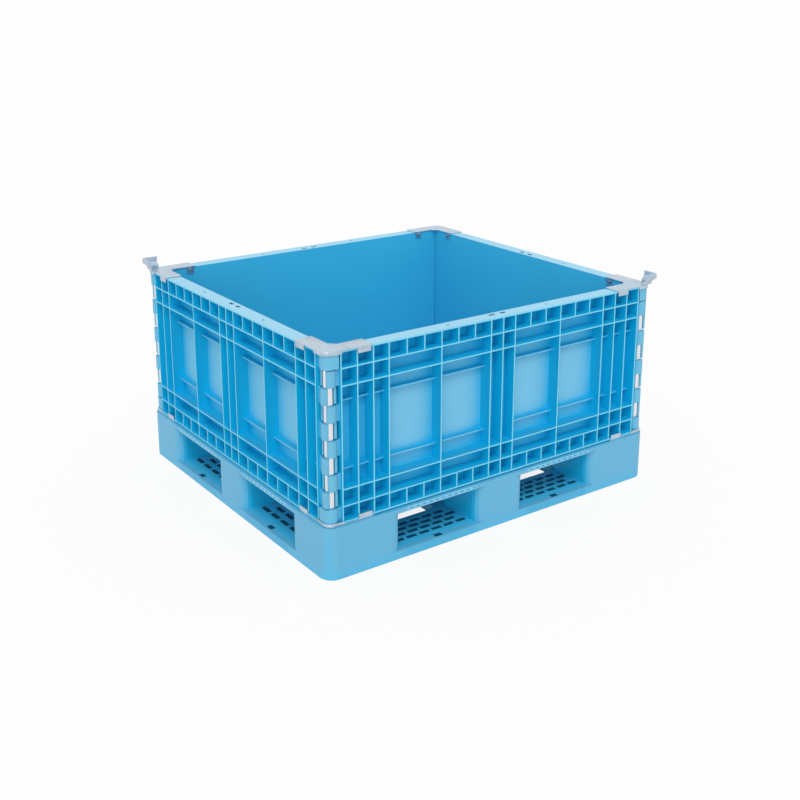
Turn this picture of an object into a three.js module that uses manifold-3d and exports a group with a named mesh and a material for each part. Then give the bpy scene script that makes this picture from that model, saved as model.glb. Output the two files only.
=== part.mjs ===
// Open plastic pallet box: a nine block pallet, four ribbed walls on hinge pipes, steel corner plates.
// Millimetres, +Z up. The origin is the centre of the pallet's underside. The front is the -Y side.

import * as THREE from 'three';
import { mergeVertices } from 'three/addons/utils/BufferGeometryUtils.js';
import Module from 'manifold-3d';

const wasm = await Module();
wasm.setup();

// Clearance between two pieces that rest on each other
const seatGap = 0.3;

// Pallet
const palletLength = 1200;
const palletWidth = 1100;
const palletHeight = 150;
const palletCornerRadius = 40;
const topDeckThickness = 22;
const bottomDeckThickness = 25;
const cornerBlockLength = 243;
const cornerBlockWidth = 190;
const middleBlockLength = 174;
const middleBlockWidth = 160;
const blockRadius = 30;
const deckEdgeThickness = 13;
const deckEdgeDepth = 48;
const blockEmbed = 4;

// Windows and drain slots in the bottom deck
const frontStripWidth = 158;
const sideStripWidth = 245;
const centreStripLength = 254;
const centreStripWidth = 230;
const windowRadius = 12;
const slotLength = 34;
const slotWidth = 15;
const slotPitch = 44;
const sideSlotLength = 42;
const sideSlotPitch = 54;
const slotMargin = 8;
const slotRows = 4;
const frontSlotFirstRow = 52;
const frontSlotRowPitch = 26;
const sideSlotFirstRow = 62;
const sideSlotRowPitch = 33;
const edgeSlotLength = 26;
const edgeSlotWidth = 16;
const edgeSlotInset = 16;

// Wall ring that stands on the pallet
const ringLength = 1180;
const ringWidth = 1080;
const wallThickness = 46;
const skinThickness = 4;
const ribThickness = 4;
const flangeThickness = 5;
const rowHeight = 48;
const rowCount = 10;
const centreBay = 44;
const smallBay = 58;
const marginBay = 50;
const shallowRibDepth = 24;
const shallowRibOffset = 48;

// Drain slots and round holes in the rim
const rimSlotLength = 20;
const rimSlotWidth = 9;
const rimSlotOffset = 20;
const rimSlotDepth = 30;
const rimHoleRadius = 4;
const rimHoleOffset = 181;
const rimHoleDepth = 23;

// Corner hinge: pipe and barrel shaped fingers
const pipeRadius = 13.6;
const pipeWall = 2.8;
const pipeInset = 21;
const pipeTopRecess = 3;
const boreClearance = 0.3;
const boreSides = 10;
const barrelRadius = 21;
const fingerReach = 12;
const fingerGap = 1.5;
const neckRecess = 8;
const panelEndGap = 0.5;

// Steel corner plates with folded tabs
const sheet = 3;
const plateArm = 144;
const plateGusset = 20;
const plateCornerRadius = barrelRadius;
const plateLipLength = 50;
const plateLipDrop = 8;
const outerTabCentre = 118;
const outerTabWidth = 42;
const outerTabDrop = 15;
const innerTabWidth = 23;
const innerTabDrop = 22;
const innerTabCentre = 126;
const screwDepth = 11;

// Screws of the inner tabs
const screwHeadRadius = 6;
const screwHeadHeight = 3.5;
const screwShankRadius = 2.5;
const screwHoleRadius = 3.2;
const screwLength = 11;
const screwSides = 6;
const smallHoleSides = 6;

// Stacking guides on two opposite corners
const guideWing = 36;
const guideHeight = 34;
const guideFoot = 8;
const guideStep = 10;

// Flats of the small round shapes, and of a quarter circle in plan
const pipeSides = 20;
const outlineSteps = 6;
const blockSteps = 4;
const windowSteps = 2;

// How far a cutter runs past what it cuts, and a finger into its wall
const overrun = 1;

// Sizes that follow from those above
const ringHeight = rowHeight * rowCount;
const ringBase = palletHeight + seatGap + sheet + seatGap;
const ringTop = ringBase + ringHeight;
const panelEnd = wallThickness + panelEndGap;
const openingLength = (palletLength - 2 * cornerBlockLength - middleBlockLength) / 2;
const openingWidth = (palletWidth - 2 * cornerBlockWidth - middleBlockWidth) / 2;

const palletBlue = new THREE.Color(0.28, 0.55, 0.76);
const wallBlue = new THREE.Color(0.04, 0.40, 0.68);
const steelGrey = new THREE.Color(0.68, 0.70, 0.74);

// A closed mesh as a solid that can be joined and cut
function solidOf(geometry) {
  const plain = geometry.index ? geometry : geometry.clone();
  plain.deleteAttribute('normal');
  plain.deleteAttribute('uv');
  const merged = mergeVertices(plain, 1e-4);
  return new wasm.Manifold(new wasm.Mesh({
    numProp: 3,
    vertProperties: new Float32Array(merged.attributes.position.array),
    triVerts: new Uint32Array(merged.index.array),
  }));
}

// The surface of a solid as a geometry
function geometryOf(solid) {
  const mesh = solid.getMesh();
  const geometry = new THREE.BufferGeometry();
  geometry.setAttribute('position', new THREE.BufferAttribute(mesh.vertProperties, 3));
  geometry.setIndex(new THREE.BufferAttribute(mesh.triVerts, 1));
  geometry.computeVertexNormals();
  return geometry;
}

// A box between two corners
function boxSolid(low, high) {
  const size = high.map((value, i) => value - low[i]);
  const centre = high.map((value, i) => (value + low[i]) / 2);
  return solidOf(new THREE.BoxGeometry(...size).translate(...centre));
}

// A plan outline raised from z0 to z1
function prism(shape, z0, z1) {
  const settings = { depth: z1 - z0, bevelEnabled: false, curveSegments: 6 };
  return solidOf(new THREE.ExtrudeGeometry(shape, settings).translate(0, 0, z0));
}

// An outline drawn in depth and height, run along X from x0 to x1
function runAlongX(points, x0, x1) {
  const shape = new THREE.Shape(points.map(([y, z]) => new THREE.Vector2(y, z)));
  const geometry = new THREE.ExtrudeGeometry(shape, { depth: x1 - x0, bevelEnabled: false });
  const axes = new THREE.Matrix4().makeBasis(
    new THREE.Vector3(0, 1, 0), new THREE.Vector3(0, 0, 1), new THREE.Vector3(1, 0, 0));
  return solidOf(geometry.applyMatrix4(axes).translate(x0, 0, 0));
}

// The same for an outline in X and height, run along Y from y0 to y1
function runAlongY(points, y0, y1) {
  const shape = new THREE.Shape(points.map(([x, z]) => new THREE.Vector2(x, z)));
  const geometry = new THREE.ExtrudeGeometry(shape, { depth: y1 - y0, bevelEnabled: false });
  const axes = new THREE.Matrix4().makeBasis(
    new THREE.Vector3(1, 0, 0), new THREE.Vector3(0, 0, 1), new THREE.Vector3(0, -1, 0));
  return solidOf(geometry.applyMatrix4(axes).translate(0, y1, 0));
}

function joinAll(solids) {
  return solids.reduce((whole, next) => whole.add(next));
}

function cutAll(solid, cutters) {
  return cutters.reduce((whole, cutter) => whole.subtract(cutter), solid);
}

// A rectangle with four round corners, as a Shape or, for holes, a Path
function roundedRectangle(Kind, x0, y0, x1, y1, radius, steps) {
  const centres = [
    [x1 - radius, y0 + radius], [x1 - radius, y1 - radius],
    [x0 + radius, y1 - radius], [x0 + radius, y0 + radius],
  ];
  const points = centres.flatMap(([cx, cy], corner) => {
    const arc = [];
    for (let i = 0; i <= steps; i += 1) {
      const angle = (corner - 1 + i / steps) * Math.PI / 2;
      arc.push(new THREE.Vector2(cx + radius * Math.cos(angle), cy + radius * Math.sin(angle)));
    }
    return arc;
  });
  return new Kind(points);
}

// A box that cuts right through the bottom deck, round a centre in plan
function deckSlot(x, y, length, width) {
  return boxSolid(
    [x - length / 2, y - width / 2, -1],
    [x + length / 2, y + width / 2, bottomDeckThickness + 1],
  );
}

// Staggered slot centres on a strip: along from the strip's middle, inward from the pallet's edge
function slotCentres(stripLength, length, pitch, firstRow, rowPitch) {
  const room = stripLength - 2 * slotMargin - length;
  const gaps = Math.floor(room / pitch);
  const centres = [];
  for (let row = 0; row < slotRows; row += 1) {
    const count = row % 2 === 0 ? gaps + 1 : gaps;
    for (let i = 0; i < count; i += 1) {
      const along = (i - (count - 1) / 2) * pitch;
      centres.push([along, firstRow + row * rowPitch]);
    }
  }
  return centres;
}

// Bottom deck: four windows, drain slots in the eight strips and one edge slot in each strip
function bottomDeck() {
  const x1 = palletLength / 2;
  const y1 = palletWidth / 2;
  const outline = roundedRectangle(THREE.Shape, -x1, -y1, x1, y1, palletCornerRadius, outlineSteps);
  const openingX = (middleBlockLength + openingLength) / 2;
  const openingY = (middleBlockWidth + openingWidth) / 2;
  const cutters = [];
  const frontSlots = slotCentres(
    openingLength, slotLength, slotPitch, frontSlotFirstRow, frontSlotRowPitch);
  const sideSlots = slotCentres(
    openingWidth, sideSlotLength, sideSlotPitch, sideSlotFirstRow, sideSlotRowPitch);
  for (const sx of [-1, 1]) {
    for (const sy of [-1, 1]) {
      const xs = [sx * centreStripLength / 2, sx * (x1 - sideStripWidth)].sort((a, b) => a - b);
      const ys = [sy * centreStripWidth / 2, sy * (y1 - frontStripWidth)].sort((a, b) => a - b);
      const opening = roundedRectangle(THREE.Shape, xs[0], ys[0], xs[1], ys[1], windowRadius, windowSteps);
      cutters.push(prism(opening, -1, bottomDeckThickness + 1));
      for (const [along, inward] of frontSlots) {
        const x = sx * (openingX + along);
        cutters.push(deckSlot(x, sy * (y1 - inward), slotLength, slotWidth));
      }
      for (const [along, inward] of sideSlots) {
        const y = sy * (openingY + along);
        cutters.push(deckSlot(sx * (x1 - inward), y, slotWidth, sideSlotLength));
      }
      const edgeY = sy * (y1 - edgeSlotInset);
      const edgeX = sx * (x1 - edgeSlotInset);
      cutters.push(deckSlot(sx * openingX, edgeY, edgeSlotLength, edgeSlotWidth));
      cutters.push(deckSlot(edgeX, sy * openingY, edgeSlotWidth, edgeSlotLength));
    }
  }
  return cutAll(prism(outline, 0, bottomDeckThickness), cutters);
}

// Pallet: top deck, thin at its edge, bottom deck and nine blocks between them, moulded as one
function palletSolid() {
  const x1 = palletLength / 2;
  const y1 = palletWidth / 2;
  const deckOutline = roundedRectangle(THREE.Shape, -x1, -y1, x1, y1, palletCornerRadius, outlineSteps);
  const deckBase = palletHeight - topDeckThickness;
  const thickX = x1 - deckEdgeDepth;
  const thickY = y1 - deckEdgeDepth;
  const parts = [
    prism(deckOutline, palletHeight - deckEdgeThickness, palletHeight),
    boxSolid([-thickX, -thickY, deckBase], [thickX, thickY, palletHeight]),
    bottomDeck(),
  ];
  const columns = [
    [-x1, -x1 + cornerBlockLength],
    [-middleBlockLength / 2, middleBlockLength / 2],
    [x1 - cornerBlockLength, x1],
  ];
  const rows = [
    [-y1, -y1 + cornerBlockWidth],
    [-middleBlockWidth / 2, middleBlockWidth / 2],
    [y1 - cornerBlockWidth, y1],
  ];
  for (const [xa, xb] of columns) {
    for (const [ya, yb] of rows) {
      const block = roundedRectangle(THREE.Shape, xa, ya, xb, yb, blockRadius, blockSteps);
      parts.push(prism(block, bottomDeckThickness - blockEmbed, palletHeight));
    }
  }
  return joinAll(parts).intersect(prism(deckOutline, 0, palletHeight));
}

// Rib positions on one half of a wall, from its middle to its end rib
function ribLines(half) {
  const pocket = 3 * smallBay;
  const lines = [0, centreBay, centreBay + pocket, centreBay + 2 * pocket];
  const lastRib = half - panelEnd - ribThickness / 2;
  const bays = Math.round((lastRib - lines[3]) / marginBay);
  const bay = (lastRib - lines[3]) / bays;
  for (let i = 1; i <= bays; i += 1) {
    lines.push(lines[3] + i * bay);
  }
  return lines;
}

// One bay between two ribs, cut from the outer face to the skin
function bayCutter(uFrom, uTo, zFrom, zTo) {
  const inset = ribThickness / 2;
  return boxSolid(
    [uFrom + inset, -1, zFrom],
    [uTo - inset, wallThickness - skinThickness, zTo],
  );
}

// The tall middle bay of a column, which leaves two shallow ribs standing on the skin
function tallBayCutter(uFrom, uTo, zFrom, zTo) {
  const inset = ribThickness / 2;
  const floor = wallThickness - skinThickness;
  const lowRib = zFrom - inset + shallowRibOffset;
  const highRib = zTo + inset - shallowRibOffset;
  return runAlongX([
    [-1, zFrom],
    [floor, zFrom],
    [floor, lowRib - inset],
    [shallowRibDepth, lowRib - inset],
    [shallowRibDepth, lowRib + inset],
    [floor, lowRib + inset],
    [floor, highRib - inset],
    [shallowRibDepth, highRib - inset],
    [shallowRibDepth, highRib + inset],
    [floor, highRib + inset],
    [floor, zTo],
    [-1, zTo],
  ], uFrom + inset, uTo - inset);
}

// Every bay of a wall, from its rib lines and its five bands
function bayCutters(half) {
  const lines = ribLines(half);
  const inset = ribThickness / 2;
  const bands = [
    [flangeThickness, rowHeight - inset],
    [rowHeight + inset, 2 * rowHeight - inset],
    [2 * rowHeight + inset, ringHeight - 2 * rowHeight - inset],
    [ringHeight - 2 * rowHeight + inset, ringHeight - rowHeight - inset],
    [ringHeight - rowHeight + inset, ringHeight - flangeThickness],
  ];
  const cutters = [];
  for (let i = 0; i + 1 < lines.length; i += 1) {
    const isPocket = i === 1 || i === 2;
    bands.forEach(([zFrom, zTo], band) => {
      const isEdgeBand = band === 0 || band === 4;
      const count = isPocket && isEdgeBand ? 3 : 1;
      const step = (lines[i + 1] - lines[i]) / count;
      const makeBay = band === 2 && i > 0 ? tallBayCutter : bayCutter;
      for (let k = 0; k < count; k += 1) {
        const from = lines[i] + k * step;
        cutters.push(makeBay(from, from + step, zFrom, zTo));
        cutters.push(makeBay(-from - step, -from, zFrom, zTo));
      }
    });
  }
  return cutters;
}

// A small round cutter along Y, centred on the origin
function roundHole(radius, length) {
  return new THREE.CylinderGeometry(radius, radius, length, smallHoleSides);
}

// Drain slots and holes in the rim, and the screw holes behind the corner plates
function smallCutters(half) {
  const cutters = [];
  const z0 = ringHeight - flangeThickness - 1;
  const z1 = ringHeight + 1;
  for (const side of [-1, 1]) {
    const slotCentre = side * rimSlotOffset;
    cutters.push(boxSolid(
      [slotCentre - rimSlotLength / 2, rimSlotDepth - rimSlotWidth / 2, z0],
      [slotCentre + rimSlotLength / 2, rimSlotDepth + rimSlotWidth / 2, z1],
    ));
    const hole = roundHole(rimHoleRadius, z1 - z0);
    hole.rotateX(Math.PI / 2);
    cutters.push(solidOf(hole.translate(side * rimHoleOffset, rimHoleDepth, (z0 + z1) / 2)));
    for (const z of [screwDepth, ringHeight - screwDepth]) {
      const length = skinThickness + 2;
      const bore = roundHole(screwHoleRadius, length);
      const middle = wallThickness - skinThickness / 2;
      cutters.push(solidOf(bore.translate(side * (half - innerTabCentre), middle, z)));
    }
  }
  return cutters;
}

// Point on a circle round the pipe's centre, which lies at the same inset from both outer faces
function barrelPoint(radius, degrees) {
  const angle = THREE.MathUtils.degToRad(degrees);
  return [pipeInset + radius * Math.cos(angle), pipeInset + radius * Math.sin(angle)];
}

// Points of an arc round the pipe's centre, both ends included
function barrelArc(radius, fromDegrees, toDegrees, steps) {
  const points = [];
  for (let i = 0; i <= steps; i += 1) {
    points.push(barrelPoint(radius, fromDegrees + (toDegrees - fromDegrees) * i / steps));
  }
  return points;
}

function degreesAt(cosine) {
  return THREE.MathUtils.radToDeg(Math.acos(cosine));
}

// Where the neck of a finger leaves its barrel, in degrees
const neckStart = -degreesAt(Math.sqrt(1 - ((pipeInset - neckRecess) / barrelRadius) ** 2));

// The bore's corners lie far enough out that its flats clear the pipe
const boreRadius = (pipeRadius + boreClearance) / Math.cos(Math.PI / boreSides);

// Plan of an open finger: a hook that passes the pipe's centre by fingerReach
function fingerShape() {
  const outerEnd = degreesAt(-fingerReach / barrelRadius);
  const boreEnd = degreesAt(-fingerReach / boreRadius);
  const points = [
    [panelEnd + overrun, neckRecess],
    ...barrelArc(barrelRadius, neckStart, -outerEnd, 4),
    ...barrelArc(boreRadius, -boreEnd, boreEnd, boreSides),
    ...barrelArc(barrelRadius, outerEnd, 90, 2),
    [panelEnd + overrun, pipeInset + barrelRadius],
  ];
  return new THREE.Shape(points.reverse().map(([p, q]) => new THREE.Vector2(p, q)));
}

// Plan of the closed end block, which goes all round the pipe
function endBlockShape() {
  const side = pipeInset + barrelRadius;
  const points = [
    [panelEnd + overrun, neckRecess],
    ...barrelArc(barrelRadius, neckStart, -180, 6),
    [pipeInset - barrelRadius, side],
    [panelEnd + overrun, side],
  ];
  const shape = new THREE.Shape(points.reverse().map(([p, q]) => new THREE.Vector2(p, q)));
  const lastCorner = 360 * (boreSides - 1) / boreSides;
  const bore = barrelArc(boreRadius, 0, lastCorner, boreSides - 1);
  shape.holes.push(new THREE.Path(bore.map(([p, q]) => new THREE.Vector2(p, q))));
  return shape;
}

// The fingers on one wall end. Rows count from the top: odd rows on the side walls, even rows
// on the front and back walls, and the first and last rows are closed blocks.
function endFingers(half, firstRow) {
  const fingers = [];
  for (let row = firstRow; row <= rowCount; row += 2) {
    const isEnd = row === 1 || row === rowCount;
    const top = ringHeight - (row - 1) * rowHeight - (row === 1 ? 0 : fingerGap);
    const base = ringHeight - row * rowHeight + (row === rowCount ? 0 : fingerGap);
    const shape = isEnd ? endBlockShape() : fingerShape();
    fingers.push(prism(shape, base, top).translate([-half, 0, 0]));
  }
  return joinAll(fingers);
}

// One wall in its own frame: X along the wall, Y inward from its outer face, Z up from its foot
function wallSolid(length, firstRow) {
  const half = length / 2;
  const slab = boxSolid([-half + panelEnd, 0, 0], [half - panelEnd, wallThickness, ringHeight]);
  const body = cutAll(slab, [...bayCutters(half), ...smallCutters(half)]);
  const fingers = endFingers(half, firstRow);
  return joinAll([body, fingers, fingers.mirror([1, 0, 0])]);
}

// Hinge pipe of a corner, in the corner's frame
function pipeGeometry() {
  const length = ringHeight - pipeTopRecess;
  const inner = pipeRadius - pipeWall;
  const profile = [
    new THREE.Vector2(inner, 0),
    new THREE.Vector2(pipeRadius, 0),
    new THREE.Vector2(pipeRadius, length),
    new THREE.Vector2(inner, length),
    new THREE.Vector2(inner, 0),
  ];
  return new THREE.LatheGeometry(profile, pipeSides).rotateX(Math.PI / 2);
}

// Flat part of a corner plate in plan, out over the lips and in over the box's inner corner
function plateShape() {
  const out = -seatGap - sheet;
  const radius = plateCornerRadius - out;
  const gussetEnd = wallThickness + plateGusset;
  const inner = wallThickness + seatGap + sheet;
  const shape = new THREE.Shape();
  shape.moveTo(plateArm, 0);
  shape.lineTo(plateArm, inner);
  shape.lineTo(gussetEnd, inner);
  shape.lineTo(inner, gussetEnd);
  shape.lineTo(inner, plateArm);
  shape.lineTo(0, plateArm);
  shape.lineTo(0, plateArm - seatGap);
  shape.lineTo(out, plateArm - seatGap);
  shape.lineTo(out, out + radius);
  shape.absarc(out + radius, out + radius, radius, Math.PI, 1.5 * Math.PI);
  shape.lineTo(plateArm - seatGap, out);
  shape.lineTo(plateArm - seatGap, 0);
  return shape;
}

// Lip folded down round the outer corner
function plateLipShape() {
  const out = -seatGap - sheet;
  const near = -seatGap;
  const outerRadius = plateCornerRadius - out;
  const innerRadius = plateCornerRadius - near;
  const centre = plateCornerRadius;
  const shape = new THREE.Shape();
  shape.moveTo(plateLipLength, out);
  shape.lineTo(plateLipLength, near);
  shape.lineTo(centre, near);
  shape.absarc(centre, centre, innerRadius, 1.5 * Math.PI, Math.PI, true);
  shape.lineTo(near, plateLipLength);
  shape.lineTo(out, plateLipLength);
  shape.lineTo(out, centre);
  shape.absarc(centre, centre, outerRadius, Math.PI, 1.5 * Math.PI);
  return shape;
}

// Corner plate in the corner's frame, lying on z = 0 with its tabs folded down
function plateSolid() {
  const out = -seatGap - sheet;
  const near = -seatGap;
  const inside = wallThickness + seatGap;
  const bend = sheet / 2;
  const tabFrom = outerTabCentre - outerTabWidth / 2;
  const tabTo = outerTabCentre + outerTabWidth / 2;
  const innerFrom = innerTabCentre - innerTabWidth / 2;
  const innerTo = innerTabCentre + innerTabWidth / 2;
  const parts = [
    prism(plateShape(), 0, sheet),
    prism(plateLipShape(), -plateLipDrop, bend),
    boxSolid([tabFrom, out, -outerTabDrop], [tabTo, near, bend]),
    boxSolid([out, tabFrom, -outerTabDrop], [near, tabTo, bend]),
    boxSolid([innerFrom, inside, -innerTabDrop], [innerTo, inside + sheet, bend]),
    boxSolid([inside, innerFrom, -innerTabDrop], [inside + sheet, innerTo, bend]),
  ];
  const drop = -screwDepth - seatGap;
  const bore = roundHole(screwHoleRadius, 3 * sheet);
  const middle = inside + sheet / 2;
  const alongY = bore.clone().translate(innerTabCentre, middle, drop);
  const alongX = bore.clone().rotateZ(Math.PI / 2).translate(middle, innerTabCentre, drop);
  return cutAll(joinAll(parts), [solidOf(alongY), solidOf(alongX)]);
}

// Hexagon head screw along -Y: the head's underside lies on y = 0
function screwGeometry() {
  const profile = [
    new THREE.Vector2(0, screwHeadHeight),
    new THREE.Vector2(screwHeadRadius, screwHeadHeight),
    new THREE.Vector2(screwHeadRadius, 0),
    new THREE.Vector2(screwShankRadius, 0),
    new THREE.Vector2(screwShankRadius, -screwLength),
    new THREE.Vector2(0, -screwLength),
  ];
  return new THREE.LatheGeometry(profile.reverse(), screwSides);
}

// Outline of a guide's wing seen from its end: upright, then a step outwards, then upright again
function guideOutline(offset, end, base, top) {
  const low = -seatGap - sheet + offset;
  return [
    [low, base],
    [low, guideFoot],
    [low - guideStep, guideFoot + guideStep],
    [low - guideStep, top],
    [end, top],
    [end, base],
  ];
}

// Stacking guide in the corner's frame: two wings that meet on the corner's edge
function guideSolid() {
  const far = guideWing + guideStep + overrun;
  const outer = guideOutline(0, guideWing, 0, guideHeight);
  const inner = guideOutline(sheet, far, -overrun, guideHeight + overrun);
  const body = runAlongY(outer, -far, guideWing).intersect(runAlongX(outer, -far, guideWing));
  const space = runAlongY(inner, -far, far).intersect(runAlongX(inner, -far, far));
  return body.subtract(space);
}

const box = new THREE.Group();

function addPiece(parent, name, geometry, color, roughness, metalness) {
  const material = new THREE.MeshStandardMaterial({ color, roughness, metalness });
  const mesh = new THREE.Mesh(geometry, material);
  mesh.name = name;
  parent.add(mesh);
  return mesh;
}

addPiece(box, 'pallet', geometryOf(palletSolid()), palletBlue, 0.5, 0);

// Walls: the front and back ones carry the even rows of fingers, the side ones the odd rows
const longWall = geometryOf(wallSolid(ringLength, 2));
const shortWall = geometryOf(wallSolid(ringWidth, 1));
const walls = [
  ['front_wall', longWall, 0, -ringWidth / 2, 0],
  ['back_wall', longWall, 0, ringWidth / 2, Math.PI],
  ['left_wall', shortWall, -ringLength / 2, 0, -Math.PI / 2],
  ['right_wall', shortWall, ringLength / 2, 0, Math.PI / 2],
];
for (const [name, geometry, x, y, turn] of walls) {
  const wall = addPiece(box, name, geometry, wallBlue, 0.45, 0);
  wall.position.set(x, y, ringBase);
  wall.rotation.z = turn;
}

// Corners: each group has its origin on the ring's outer corner, with X and Y running inward
const pipe = pipeGeometry();
const plate = geometryOf(plateSolid());
const screw = screwGeometry();
const guide = geometryOf(guideSolid());
const corners = [
  ['near', -1, -1, 0, false],
  ['right', 1, -1, Math.PI / 2, true],
  ['far', 1, 1, Math.PI, false],
  ['left', -1, 1, -Math.PI / 2, true],
];
const flipOver = new THREE.Quaternion().setFromAxisAngle(
  new THREE.Vector3(1, 1, 0).normalize(), Math.PI);

// A corner plate with its two screws, the right way up or, under the ring, turned over
function addPlate(corner, cornerName, level, turnedOver) {
  const place = new THREE.Group();
  const side = turnedOver ? -1 : 1;
  place.position.z = turnedOver ? -seatGap : ringHeight + seatGap;
  if (turnedOver) {
    place.quaternion.copy(flipOver);
  }
  corner.add(place);
  addPiece(place, `${level}_plate_${cornerName}`, plate, steelGrey, 0.35, 1);
  const head = wallThickness + seatGap + sheet + seatGap;
  const drop = -screwDepth - seatGap;
  const names = side > 0 ? ['a', 'b'] : ['b', 'a'];
  const first = addPiece(place, `${level}_screw_${cornerName}_${names[0]}`, screw, steelGrey, 0.3, 1);
  first.position.set(innerTabCentre, head, drop);
  const second = addPiece(place, `${level}_screw_${cornerName}_${names[1]}`, screw, steelGrey, 0.3, 1);
  second.position.set(head, innerTabCentre, drop);
  second.rotation.z = -Math.PI / 2;
}

for (const [name, sx, sy, turn, hasGuide] of corners) {
  const corner = new THREE.Group();
  corner.position.set(sx * ringLength / 2, sy * ringWidth / 2, ringBase);
  corner.rotation.z = turn;
  box.add(corner);
  const post = addPiece(corner, `corner_pipe_${name}`, pipe, steelGrey, 0.3, 1);
  post.position.set(pipeInset, pipeInset, 0);
  addPlate(corner, name, 'top', false);
  addPlate(corner, name, 'bottom', true);
  if (hasGuide) {
    const angle = addPiece(corner, `stacking_guide_${name}`, guide, steelGrey, 0.35, 1);
    angle.position.z = ringTop - ringBase + seatGap + sheet + seatGap;
  }
}

export default box;
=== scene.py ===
# Pallet box: finishes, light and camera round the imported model
import math

import bpy
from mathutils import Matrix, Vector


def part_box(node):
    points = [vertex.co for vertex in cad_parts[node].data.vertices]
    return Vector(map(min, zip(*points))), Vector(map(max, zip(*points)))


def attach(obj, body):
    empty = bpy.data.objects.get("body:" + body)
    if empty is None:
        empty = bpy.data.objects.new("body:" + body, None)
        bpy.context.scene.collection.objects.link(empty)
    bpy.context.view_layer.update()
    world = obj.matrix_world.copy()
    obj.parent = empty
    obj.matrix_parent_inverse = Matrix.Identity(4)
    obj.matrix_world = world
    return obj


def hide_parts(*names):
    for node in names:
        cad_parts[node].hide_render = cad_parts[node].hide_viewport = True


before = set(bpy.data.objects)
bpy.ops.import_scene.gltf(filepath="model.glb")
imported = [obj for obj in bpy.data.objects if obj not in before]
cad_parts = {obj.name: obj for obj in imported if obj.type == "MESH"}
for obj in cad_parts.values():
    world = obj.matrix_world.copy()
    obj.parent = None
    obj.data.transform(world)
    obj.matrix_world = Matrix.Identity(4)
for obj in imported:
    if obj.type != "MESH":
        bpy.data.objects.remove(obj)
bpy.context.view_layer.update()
bpy.ops.object.select_all(action="DESELECT")

# Sizes in metres, read from the frame
PALLET_LOW, PALLET_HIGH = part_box("pallet")
FRONT_LOW, FRONT_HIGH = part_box("front_wall")
LEFT_LOW, LEFT_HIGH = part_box("left_wall")
RING_HALF_X = -LEFT_LOW[0]
RING_HALF_Y = -FRONT_LOW[1]
RING_RIM = FRONT_HIGH[2]
WALL_THICKNESS = LEFT_HIGH[0] - LEFT_LOW[0]
PALLET_HALF_X = PALLET_HIGH[0]
PALLET_HALF_Y = PALLET_HIGH[1]
DECK_TOP = PALLET_HIGH[2]

# Sizes in metres that the pallet and the walls were built to
SKIN = 0.004
BARREL_LENGTH = 0.0442
STRIP_TOP = 0.025
DECK_EDGE = 0.013
CORNER_BLOCK_X = 0.243
CORNER_BLOCK_Y = 0.190
MIDDLE_BLOCK_X = 0.087
MIDDLE_BLOCK_Y = 0.080

# Where the finishes change, in metres
FACE_SLACK = 0.0004
EDGE_MARGIN = 0.006
CORNER_MARGIN = 0.045
BARREL_FADE = 0.002
BLOCK_FADE = 0.022
TUNNEL_START = 0.002
TUNNEL_END = 0.032
TUNNEL_SHARE = 0.9
SLOTTED_X = 0.42
SLOTTED_Y = 0.40
DASH_PITCH = 0.022
DASH_LENGTH = 0.011
DASH_LOW = 0.0085
DASH_HIGH = 0.0050

# Edges: how far each finish rounds them, and the folds of the sheet steel
PLASTIC_EDGE = 0.002
SHEET_EDGE = 0.0008
PIPE_EDGE = 0.0006
FOLD_RADIUS = 0.0008
MERGE_DISTANCE = 0.00002
FLAT_ANGLE = math.radians(1.0)
FOLD_ANGLE = math.radians(35.0)
SMOOTH_ANGLE = math.radians(40.0)

# Colours, linear
# The wall blues are lit and shaded copies of one plastic: pale on open out-facing faces, painted
# darker on side faces as shade, painted lighter on up-facing ledges as light from above, and a
# more saturated blue in deep bays, painted brighter than the side faces to offset their shade
WALL_OPEN = (0.155, 0.49, 0.71)
WALL_SIDE_SHADE = (0.0, 0.315, 0.57)
WALL_SHADED = (0.0, 0.455, 0.755)
WALL_LEDGE_LIT = (0.04, 0.34, 0.57)
# Painted highlight on the out-facing fronts of the ribs
WALL_EDGE_HIGHLIGHT = (0.16, 0.60, 0.80)
# Painted shade and blue bounce light on the inner faces of the ring
WALL_INSIDE_SHADE = (0.037, 0.445, 0.71)
# Painted light: the top of the rim is painted pale, as lit from above; the walls' paler edges take
# this colour too
RIM_TOP_LIT = (0.27, 0.58, 0.76)
BARREL_PALE = (0.12, 0.43, 0.63)
PALLET_OPEN = (0.115, 0.405, 0.615)
# Painted shade: the pallet's colour in hollows and tunnels, painted brighter and more saturated to
# offset the shade
PALLET_SHADE = (0.0, 0.47, 0.77)
# Painted shade: the barrels' colour in hollows
BARREL_SHADE = (0.015, 0.33, 0.60)
STRIP_BLUE = (0.07, 0.38, 0.61)
# Painted light: up-facing faces inside the tunnels, painted brighter to offset their shade
STRIP_INNER_SHADE = (0.04, 0.49, 0.76)
# Painted shade: near black put on the walls of holes and slots
SLOT_SHADE = (0.0, 0.12, 0.25)
# Painted shade: dark dashes on the deck edge
DASH_SHADE = (0.02, 0.24, 0.43)
EDGE_PALE = (0.18, 0.50, 0.71)
STEEL = (0.50, 0.62, 0.72)
STEEL_DARK = (0.42, 0.46, 0.54)
PIPE_STEEL = (0.80, 0.82, 0.85)
SCREW_STEEL = (0.34, 0.36, 0.40)

# Camera, from edges measured in the photograph
CAMERA_PLACE = Vector((-2.025, -2.874, 1.5365))
CAMERA_AZIMUTH = math.radians(-35.539)
CAMERA_ELEVATION = math.radians(15.753)
CAMERA_LENS = 51.578
CAMERA_SHIFT = -0.12

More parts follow.
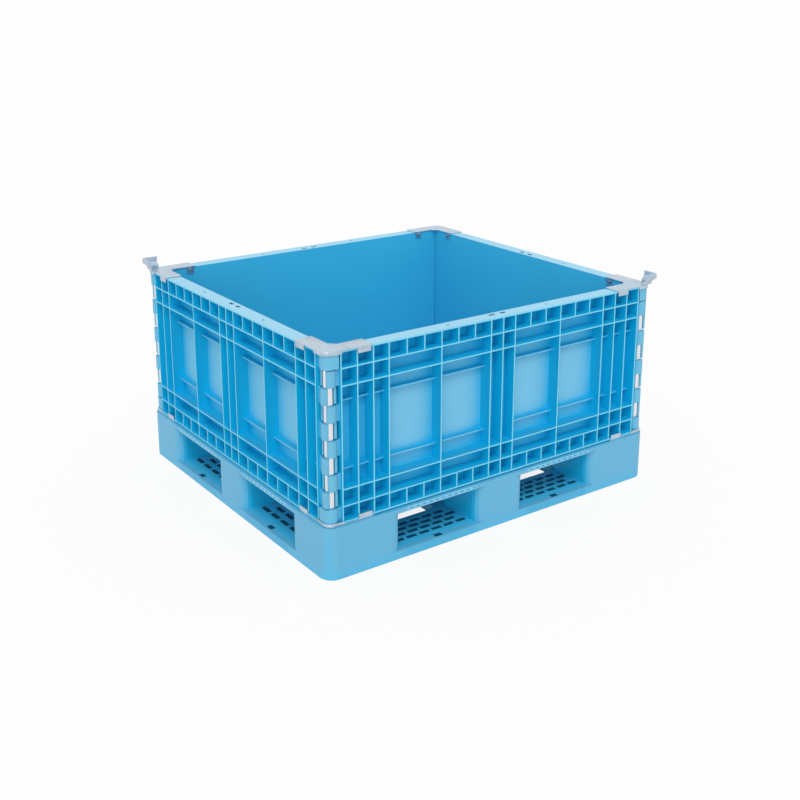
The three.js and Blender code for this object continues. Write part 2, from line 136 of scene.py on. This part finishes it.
# Light: a soft sun from the upper left front and a low, weak one under a plain bright sky
SUN_DIRECTION = Vector((0.36, 0.56, -0.90))
SUN_STRENGTH = 1.1
SUN_SOFTNESS = math.radians(24.0)
FILL_DIRECTION = Vector((0.68, 0.68, -0.16))
FILL_STRENGTH = 0.6
FILL_SOFTNESS = math.radians(40.0)
SKY_STRENGTH = 0.82
WHITE = (1.0, 1.0, 1.0)
FLOOR_SIZE = 400.0
FLOOR_HEIGHT = -0.0005
FLOOR_GREY = (0.80, 0.80, 0.80)
FLOOR_WHITE_SHARE = 0.86


class Value:
    """A socket of a node tree that takes part in sums."""

    def __init__(self, tree, socket):
        self.tree = tree
        self.socket = socket

    def _math(self, operation, *others):
        node = self.tree.nodes.new("ShaderNodeMath")
        node.operation = operation
        for index, item in enumerate((self, *others)):
            plug(self.tree, node.inputs[index], item)
        return Value(self.tree, node.outputs[0])

    def __add__(self, other):
        return self._math("ADD", other)

    __radd__ = __add__

    def __mul__(self, other):
        return self._math("MULTIPLY", other)

    __rmul__ = __mul__

    def __sub__(self, other):
        return self._math("SUBTRACT", other)

    def __rsub__(self, other):
        return (self * -1.0) + other

    def __abs__(self):
        return self._math("ABSOLUTE")

    def above(self, limit):
        return self._math("GREATER_THAN", limit)

    def below(self, limit):
        return self._math("LESS_THAN", limit)

    def most(self, other):
        return self._math("MAXIMUM", other)

    def least(self, other):
        return self._math("MINIMUM", other)

    def within_step(self, step):
        """How far the value lies into its own repeat of this step."""
        return self._math("FLOORED_MODULO", step)


def plug(tree, target, item):
    """Links a Value to a socket, or sets the socket to a number, colour or vector."""
    if isinstance(item, Value):
        tree.links.new(item.socket, target)
    elif isinstance(item, (tuple, list)) and len(target.default_value) > len(item):
        target.default_value = (*item, 1.0)
    else:
        target.default_value = item


class Finish:
    """One material: its node tree, its shader and the maker of its other nodes."""

    def __init__(self, name):
        self.material = bpy.data.materials.new(name)
        self.material.use_nodes = True
        self.tree = self.material.node_tree
        self.tree.nodes.clear()
        self.shader = self.tree.nodes.new("ShaderNodeBsdfPrincipled")
        output = self.tree.nodes.new("ShaderNodeOutputMaterial")
        self.tree.links.new(self.shader.outputs[0], output.inputs["Surface"])
        self.place = self.node("ShaderNodeTexCoord", output="Object")
        self.normal = self.node("ShaderNodeTexCoord", output="Normal")

    def node(self, kind, settings=None, output=0, **sockets):
        """Adds a node: its settings first, then its sockets by name, with _ for a space."""
        node = self.tree.nodes.new(kind)
        for key, value in (settings or {}).items():
            setattr(node, key, value)
        for key, item in sockets.items():
            name = key.replace("_", " ")
            target = next(s for s in node.inputs if s.name == name and s.enabled)
            plug(self.tree, target, item)
        return Value(self.tree, node.outputs[output])

    def finish(self, **sockets):
        """Sets the shader's sockets and returns the material."""
        for key, item in sockets.items():
            plug(self.tree, self.shader.inputs[key.replace("_", " ")], item)
        return self.material

    def split(self, vector):
        """The three numbers of a vector."""
        node = self.tree.nodes.new("ShaderNodeSeparateXYZ")
        self.tree.links.new(vector.socket, node.inputs[0])
        return [Value(self.tree, socket) for socket in node.outputs]

    def ramp(self, value, start, end):
        """0 at start and 1 at end, smooth between them."""
        settings = {"interpolation_type": "SMOOTHSTEP"}
        return self.node("ShaderNodeMapRange", settings, Value=value, From_Min=start, From_Max=end)

    def noise(self, scale, detail=2.0, roughness=0.5, stretch=(1.0, 1.0, 1.0)):
        """Soft random patches fixed to the object, 0 to 1."""
        vector = self.node("ShaderNodeMapping", Vector=self.place, Scale=stretch)
        return self.node("ShaderNodeTexNoise", Vector=vector, Scale=scale, Detail=detail,
                         Roughness=roughness)

    def mix(self, factor, first, second):
        """The first colour where the factor is 0, the second where it is 1."""
        settings = {"data_type": "RGBA"}
        return self.node("ShaderNodeMix", settings, 2, Factor=factor, A=first, B=second)

    def tint(self, colour, factor):
        """A colour times a number near 1."""
        settings = {"operation": "SCALE"}
        return self.node("ShaderNodeVectorMath", settings, Vector=colour, Scale=factor)

    def dot(self, first, second):
        """How far two directions agree, 1 where they are the same."""
        node = self.tree.nodes.new("ShaderNodeVectorMath")
        node.operation = "DOT_PRODUCT"
        plug(self.tree, node.inputs[0], first)
        plug(self.tree, node.inputs[1], second)
        return Value(self.tree, node.outputs["Value"])

    def rounded(self, radius):
        """The normal with the edges rounded to the radius."""
        return self.node("ShaderNodeBevel", {"samples": 4}, Radius=radius)

    def edges(self, rounded):
        """1 along the edges and 0 on flat faces, from the rounded normal."""
        true_normal = self.node("ShaderNodeNewGeometry", output="True Normal")
        return self.ramp(1 - self.dot(rounded, true_normal), 0.0, 0.25)

    def openness(self, distance):
        """1 where the surface lies open and 0 deep in a bay, by ambient occlusion; it sets where
        shade is painted into the colour.
        """
        settings = {"samples": 6}
        return self.node("ShaderNodeAmbientOcclusion", settings, "AO", Distance=distance)

    def bump(self, height, strength, distance, normal):
        """The normal with small hills of the given height."""
        return self.node("ShaderNodeBump", Height=height, Strength=strength, Distance=distance,
                         Normal=normal)


def plastic_surface(finish, colour, edge_colour):
    """Satin moulded plastic over a colour: flow marks, fine grain, scuffs and soft edges."""
    flow = finish.noise(3.2, 3.0, 0.55, (1.0, 1.0, 0.35))
    cloud = finish.noise(26.0, 4.0, 0.6)
    grain = finish.noise(1100.0, 1.0, 0.5)
    scuff = finish.ramp(finish.noise(70.0, 5.0, 0.7, (1.0, 1.0, 3.0)), 0.58, 0.76)
    rounded = finish.rounded(PLASTIC_EDGE)
    # The colour is paler along the edges
    edge_paled = finish.mix(finish.edges(rounded) * 0.5, colour, edge_colour)
    edge_paled = finish.tint(edge_paled, 0.945 + 0.07 * flow + 0.04 * cloud + 0.03 * scuff)
    normal = finish.bump(cloud * 0.5 + flow, 0.16, 0.0012, rounded)
    normal = finish.bump(grain, 0.10, 0.0002, normal)
    finish.shader.inputs["Specular IOR Level"].default_value = 0.42
    return finish.finish(Base_Color=edge_paled, Roughness=0.40 + 0.10 * cloud + 0.10 * scuff,
                         Normal=normal)


def wall_finish(name, axis):
    """A pair of walls. The axis points out of them: 0 is X, 1 is Y."""
    finish = Finish(name)
    place = finish.split(finish.place)
    facing = [abs(part) for part in finish.split(finish.normal)]
    up = finish.split(finish.normal)[2]
    half = (RING_HALF_X, RING_HALF_Y)[axis]
    along_half = (RING_HALF_Y, RING_HALF_X)[axis]
    depth = half - abs(place[axis])

    # Painted shade and light: ambient occlusion and the facing of each face pick between lit and
    # shaded copies of the wall blue
    lit_share = finish.ramp(finish.openness(0.085), 0.34, 0.84)
    floor = finish.mix(lit_share, WALL_SHADED, WALL_OPEN)
    side = finish.mix(lit_share, WALL_SHADED, WALL_SIDE_SHADE)
    side = finish.mix(finish.ramp(up, 0.5, 0.9) * lit_share, side, WALL_LEDGE_LIT)
    colour = finish.mix(finish.ramp(facing[axis], 0.4, 0.8), side, floor)

    # Painted highlight: the out-facing rib fronts are paler and greener than the pocket floors
    # that face the same way
    front_highlight = depth.below(FACE_SLACK) * facing[axis].above(0.9)
    colour = finish.mix(front_highlight, colour, WALL_EDGE_HIGHLIGHT)
    barrel_start = along_half - BARREL_LENGTH
    barrel = finish.ramp(abs(place[1 - axis]), barrel_start - BARREL_FADE, barrel_start)
    # Painted shade: by ambient occlusion the barrels go from the pale copy in open places to the
    # deep copy in hollows
    shade = finish.mix(lit_share, BARREL_SHADE, BARREL_PALE)
    colour = finish.mix(barrel, colour, shade)

    sweep = finish.noise(1.4, 2.0, 0.5)
    # Painted shade and bounce light: the inner faces get a deeper, more saturated blue
    inside = depth.above(WALL_THICKNESS - FACE_SLACK)
    colour = finish.mix(inside, colour, finish.tint(WALL_INSIDE_SHADE, 0.93 + 0.14 * sweep))
    # Painted light: the top face of the rim is painted pale
    rim = place[2].above(RING_RIM - FACE_SLACK)
    colour = finish.mix(rim, colour, finish.tint(RIM_TOP_LIT, 0.96 + 0.08 * sweep))
    # Painted shade: the side and under faces of the holes in the rim's skin are painted near black
    band = depth.above(EDGE_MARGIN) * depth.below(WALL_THICKNESS - EDGE_MARGIN)
    hole_shade = band * place[2].above(RING_RIM - SKIN + FACE_SLACK) * up.below(0.5)
    colour = finish.mix(hole_shade, colour, SLOT_SHADE)
    return plastic_surface(finish, colour, RIM_TOP_LIT)


def between_blocks(finish, place, corner, middle, half):
    """1 on the stretches between a corner block and the middle block, soft at both ends."""
    offset = abs(place)
    start = finish.ramp(offset, middle, middle + BLOCK_FADE)
    end = finish.ramp(offset, half - corner - BLOCK_FADE, half - corner)
    return start * (1 - end)


def pallet_finish():
    """The pallet: pale open faces, bluer deck strips, deep blue tunnels and dark slots, the
    tunnels and slots as painted shade.
    """
    finish = Finish("pallet_plastic")
    x, y, z = finish.split(finish.place)
    facing_x, facing_y, facing_z = [abs(part) for part in finish.split(finish.normal)]
    # Painted shade: ambient occlusion picks between the open copy and the shaded copy of the
    # pallet blue
    lit_share = finish.ramp(finish.openness(0.10), 0.22, 0.66)
    colour = finish.mix(lit_share, PALLET_SHADE, PALLET_OPEN)

    # Painted shade: faces inside the tunnels take the shaded copy, and their up-facing faces a
    # brighter one in place of bounce light
    depth = (PALLET_HALF_X - abs(x)).least(PALLET_HALF_Y - abs(y))
    inner = finish.ramp(depth, TUNNEL_START, TUNNEL_END) * z.below(DECK_TOP - DECK_EDGE)
    tunnel_shade = finish.mix(facing_z.above(0.5), PALLET_SHADE, STRIP_INNER_SHADE)
    colour = finish.mix(inner * TUNNEL_SHARE, colour, tunnel_shade)

    on_front = between_blocks(finish, x, CORNER_BLOCK_X, MIDDLE_BLOCK_X, PALLET_HALF_X)
    on_side = between_blocks(finish, y, CORNER_BLOCK_Y, MIDDLE_BLOCK_Y, PALLET_HALF_Y)
    outer = facing_y.above(0.9) * on_front + facing_x.above(0.9) * on_side
    strip = outer * z.below(STRIP_TOP) * lit_share
    colour = finish.mix(strip, colour, STRIP_BLUE)

    deck_edge = outer * z.above(DECK_TOP - DECK_EDGE - FACE_SLACK)
    # Painted shade: dark dashes along the deck edge stand for the shade in small slots that are
    # not modelled
    slot_dashes = (x + y).within_step(DASH_PITCH).below(DASH_LENGTH)
    level = z.above(DECK_TOP - DASH_LOW) * z.below(DECK_TOP - DASH_HIGH)
    colour = finish.mix(deck_edge, colour, EDGE_PALE)
    colour = finish.mix(deck_edge * slot_dashes * level, colour, DASH_SHADE)

    within = abs(x).below(PALLET_HALF_X - EDGE_MARGIN) * abs(y).below(PALLET_HALF_Y - EDGE_MARGIN)
    slotted = (within * abs(x).above(SLOTTED_X)).most(within * abs(y).above(SLOTTED_Y))
    corner_x = abs(x).above(PALLET_HALF_X - CORNER_MARGIN)
    corner = corner_x * abs(y).above(PALLET_HALF_Y - CORNER_MARGIN)
    # Painted shade: the side walls of the slots in the lower deck are painted near black
    slot_shade = slotted * (1 - corner) * z.below(STRIP_TOP - FACE_SLACK) * facing_z.below(0.5)
    colour = finish.mix(slot_shade, colour, SLOT_SHADE)
    return plastic_surface(finish, colour, EDGE_PALE)


def galvanised(name, colour, dark, roughness, spangle):
    """Zinc coated steel: crystal patches, faint rolling lines and duller stains."""
    finish = Finish(name)
    cells = finish.node("ShaderNodeTexVoronoi", output="Color", Vector=finish.place, Scale=spangle)
    patch = finish.split(cells)[0]
    streak = finish.noise(60.0, 3.0, 0.6, (1.0, 6.0, 1.0))
    stain = finish.ramp(finish.noise(18.0, 4.0, 0.65), 0.42, 0.72)
    tone = 0.88 + 0.14 * patch + 0.06 * streak
    base = finish.tint(finish.mix(stain * 0.4, colour, dark), tone)
    normal = finish.bump(patch * 0.4 + streak, 0.12, 0.0003, finish.rounded(SHEET_EDGE))
    finish.shader.inputs["Metallic"].default_value = 1.0
    return finish.finish(Base_Color=base, Roughness=roughness + 0.10 * patch + 0.10 * stain,
                         Normal=normal)


def pipe_finish():
    """Drawn steel tube: fine lines along its length and a few dull spots."""
    finish = Finish("pipe_steel")
    lines = finish.noise(240.0, 2.0, 0.5, (1.0, 1.0, 0.02))
    spots = finish.ramp(finish.noise(130.0, 4.0, 0.7), 0.62, 0.78)
    base = finish.tint(PIPE_STEEL, 0.94 + 0.10 * lines - 0.18 * spots)
    normal = finish.bump(lines, 0.15, 0.0002, finish.rounded(PIPE_EDGE))
    finish.shader.inputs["Metallic"].default_value = 1.0
    return finish.finish(Base_Color=base, Roughness=0.22 + 0.14 * lines, Normal=normal)


def dress(names, material):
    """Gives CAD nodes their finish."""
    for name in names:
        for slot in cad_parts[name].material_slots:
            slot.material = material


def folded_sheet(node, material):
    """A copy of a sheet steel node with softly bent edges, which stands for the node."""
    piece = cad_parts[node].copy()
    piece.data = piece.data.copy()
    piece.name = f"{node}_folded"
    piece.data.name = piece.name
    bpy.context.scene.collection.objects.link(piece)
    bpy.ops.object.select_all(action="DESELECT")
    piece.select_set(True)
    bpy.context.view_layer.objects.active = piece
    bpy.ops.object.mode_set(mode="EDIT")
    bpy.ops.mesh.select_all(action="SELECT")
    bpy.ops.mesh.remove_doubles(threshold=MERGE_DISTANCE)
    bpy.ops.mesh.dissolve_limited(angle_limit=FLAT_ANGLE)
    bpy.ops.object.mode_set(mode="OBJECT")
    bevel = piece.modifiers.new("soft_edges", "BEVEL")
    bevel.width = FOLD_RADIUS
    bevel.segments = 2
    bevel.limit_method = "ANGLE"
    bevel.angle_limit = FOLD_ANGLE
    bpy.ops.object.modifier_apply(modifier=bevel.name)
    bpy.ops.object.shade_smooth_by_angle(angle=SMOOTH_ANGLE)
    piece.select_set(False)
    piece.data.materials.clear()
    piece.data.materials.append(material)
    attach(piece, "root")
    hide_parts(node)
    return piece


def background_rays(tree):
    """1 for rays that should meet a white background: camera, mirror and glass rays."""
    path = tree.nodes.new("ShaderNodeLightPath")
    seen = Value(tree, path.outputs["Is Camera Ray"])
    mirrored = Value(tree, path.outputs["Is Glossy Ray"])
    through = Value(tree, path.outputs["Is Transmission Ray"])
    return seen.most(mirrored).most(through)


def add_floor():
    """A white floor that keeps the object's shadow faintly."""
    bpy.ops.mesh.primitive_plane_add(size=FLOOR_SIZE, location=(0, 0, FLOOR_HEIGHT))
    floor = bpy.context.object
    floor.name = "floor"
    floor.select_set(False)
    material = bpy.data.materials.new("floor_white")
    material.use_nodes = True
    tree = material.node_tree
    tree.nodes.clear()
    matt = tree.nodes.new("ShaderNodeBsdfDiffuse")
    plug(tree, matt.inputs["Color"], FLOOR_GREY)
    glow = tree.nodes.new("ShaderNodeEmission")
    blend = tree.nodes.new("ShaderNodeMixShader")
    output = tree.nodes.new("ShaderNodeOutputMaterial")
    plug(tree, blend.inputs[0], background_rays(tree) * FLOOR_WHITE_SHARE)
    tree.links.new(matt.outputs[0], blend.inputs[1])
    tree.links.new(glow.outputs[0], blend.inputs[2])
    tree.links.new(blend.outputs[0], output.inputs["Surface"])
    floor.data.materials.append(material)


def add_sky():
    """A plain sky that lights evenly and looks white."""
    world = bpy.data.worlds.new("studio")
    bpy.context.scene.world = world
    world.use_nodes = True
    tree = world.node_tree
    tree.nodes.clear()
    background = tree.nodes.new("ShaderNodeBackground")
    plug(tree, background.inputs["Color"], WHITE)
    strength = background_rays(tree) * (1.0 - SKY_STRENGTH) + SKY_STRENGTH
    plug(tree, background.inputs["Strength"], strength)
    output = tree.nodes.new("ShaderNodeOutputWorld")
    tree.links.new(background.outputs[0], output.inputs["Surface"])


def add_sun(name, direction, strength, softness):
    """A soft distant lamp that shines along the direction."""
    light = bpy.data.lights.new(name, "SUN")
    light.energy = strength
    light.angle = softness
    lamp = bpy.data.objects.new(name, light)
    bpy.context.scene.collection.objects.link(lamp)
    lamp.rotation_mode = "QUATERNION"
    lamp.rotation_quaternion = direction.to_track_quat("-Z", "Y")


def add_camera():
    """The photograph's camera."""
    data = bpy.data.cameras.new("camera")
    data.sensor_width = 36.0
    data.lens = CAMERA_LENS
    data.shift_y = CAMERA_SHIFT
    camera = bpy.data.objects.new("camera", data)
    bpy.context.scene.collection.objects.link(camera)
    back = Vector((
        math.sin(CAMERA_AZIMUTH) * math.cos(CAMERA_ELEVATION),
        -math.cos(CAMERA_AZIMUTH) * math.cos(CAMERA_ELEVATION),
        math.sin(CAMERA_ELEVATION),
    ))
    camera.location = CAMERA_PLACE
    camera.rotation_mode = "QUATERNION"
    camera.rotation_quaternion = (-back).to_track_quat("-Z", "Y")
    bpy.context.scene.camera = camera


add_camera()
add_floor()
add_sky()
add_sun("key_light", SUN_DIRECTION, SUN_STRENGTH, SUN_SOFTNESS)
add_sun("fill_light", FILL_DIRECTION, FILL_STRENGTH, FILL_SOFTNESS)

CORNERS = ("near", "right", "far", "left")
plates = [f"{level}_plate_{corner}" for level in ("top", "bottom") for corner in CORNERS]
guides = [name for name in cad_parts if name.startswith("stacking_guide")]
screws = [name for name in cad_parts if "_screw_" in name]

dress(["front_wall", "back_wall"], wall_finish("long_wall_plastic", 1))
dress(["left_wall", "right_wall"], wall_finish("short_wall_plastic", 0))
dress(["pallet"], pallet_finish())
dress([f"corner_pipe_{corner}" for corner in CORNERS], pipe_finish())
dress(screws, galvanised("screw_steel", SCREW_STEEL, STEEL_DARK, 0.32, 400.0))

sheet_steel = galvanised("galvanised_steel", STEEL, STEEL_DARK, 0.30, 90.0)
for node in plates + guides:
    folded_sheet(node, sheet_steel)

bpy.context.scene.view_settings.view_transform = "Standard"
